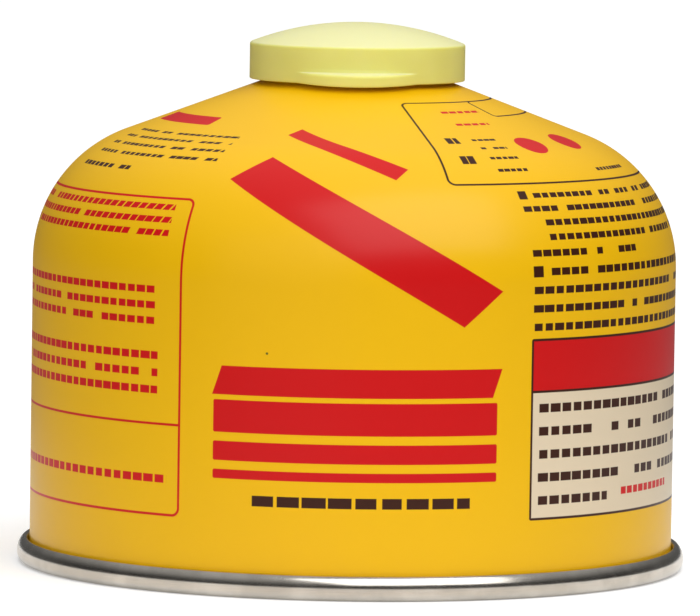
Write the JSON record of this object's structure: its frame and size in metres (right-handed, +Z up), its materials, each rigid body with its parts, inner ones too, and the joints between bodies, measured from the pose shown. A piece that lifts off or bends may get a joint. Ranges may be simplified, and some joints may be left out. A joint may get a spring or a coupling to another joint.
{
  "type": "fuel canister",
  "caption": "Squat round screw-valve gas canister: painted steel can with a sloped shoulder, seamed concave base, threaded valve boss and a push-on domed cap with a thumb lip.",
  "frame": {"origin": "centre of the seam's standing ring, in the plane that it stands on", "axes": "+Z up along the can's axis; the front, with the cap's thumb lip, faces -Y"},
  "size_m": [0.11, 0.11, 0.0895],
  "materials": {
    "body_paint": "gloss yellow enamel with printed red and dark fields",
    "tinplate": "bare tinplate, satin",
    "black_rubber": "matt moulded rubber",
    "valve_plastic": "natural white moulded plastic",
    "spring_steel": "drawn wire",
    "cap_plastic": "pale yellow moulded polyethylene, soft satin"
  },
  "bodies": {
    "can": {"can_body": "body_paint", "base_end": "tinplate", "valve_cup": "tinplate", "cup_gasket": "black_rubber", "valve_housing": "valve_plastic", "valve_spring": "spring_steel", "stem_gasket": "black_rubber"},
    "cap": {"cap": "cap_plastic"},
    "stem": {"valve_stem": "valve_plastic"}
  },
  "joints": [
    {"name": "cap_lift", "type": "slide", "parent": "can", "child": "cap", "axis": [0, 0, 1], "range_m": [0, 0.012]},
    {"name": "stem_press", "type": "slide", "parent": "can", "child": "stem", "axis": [0, 0, 1], "range_m": [-0.0015, 0], "stiffness_N_per_m": 2000, "springref_m": 0.001, "deforming": ["valve_spring"]}
  ]
}
